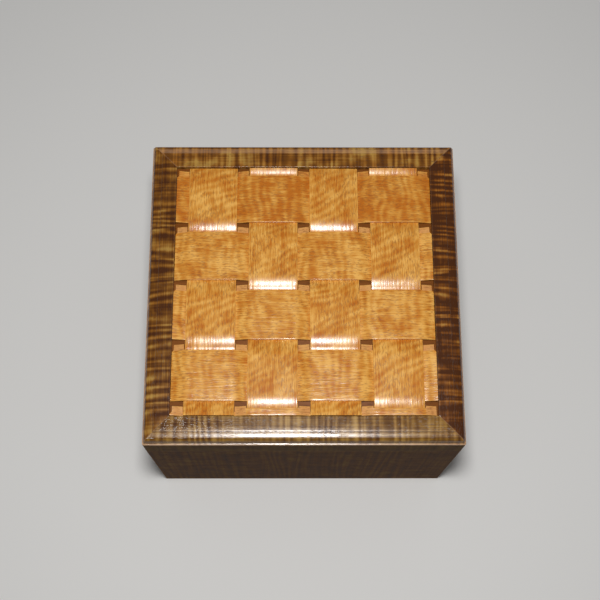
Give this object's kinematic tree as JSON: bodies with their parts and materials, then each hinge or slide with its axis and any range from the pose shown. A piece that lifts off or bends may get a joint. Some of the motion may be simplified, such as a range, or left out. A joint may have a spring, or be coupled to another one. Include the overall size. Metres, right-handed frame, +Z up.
{
  "type": "keepsake box with woven lid",
  "caption": "Square wooden keepsake box with mitred sides and a lift-off lid whose moulded frame holds a basket-woven panel of thin wood strips.",
  "frame": {"origin": "middle of the base, level with the surface that the box stands on", "axes": "+Z up through the lid, +X to the right of someone facing the front, front towards -Y"},
  "size_m": [0.15, 0.15, 0.112],
  "materials": {
    "dark_walnut": "dark curly walnut, satin oil finish",
    "golden_wood": "golden figured wood, semi-gloss lacquer",
    "brown_panel": "plain brown wood panel, matt",
    "pale_lining": "plain pale wood, matt wax"
  },
  "bodies": {
    "box": {"side_front": "dark_walnut", "side_right": "dark_walnut", "side_back": "dark_walnut", "side_left": "dark_walnut", "lining_front": "pale_lining", "lining_right": "pale_lining", "lining_back": "pale_lining", "lining_left": "pale_lining", "side_corner_splines": "pale_lining", "bottom_panel": "brown_panel"},
    "lid": {"lid_rail_front": "dark_walnut", "lid_rail_right": "dark_walnut", "lid_rail_back": "dark_walnut", "lid_rail_left": "dark_walnut", "lid_corner_splines": "pale_lining", "lid_panel": "brown_panel", "weave_strip_1": "golden_wood", "weave_strip_2": "golden_wood", "weave_strip_3": "golden_wood", "weave_strip_4": "golden_wood", "weave_slat_1": "golden_wood", "weave_slat_2": "golden_wood", "weave_slat_3": "golden_wood", "weave_slat_4": "golden_wood", "weave_slat_5": "golden_wood"}
  },
  "joints": [
    {"name": "lid_lift", "type": "slide", "parent": "box", "child": "lid", "axis": [0, 0, 1], "range_m": [0, 0.12]}
  ]
}
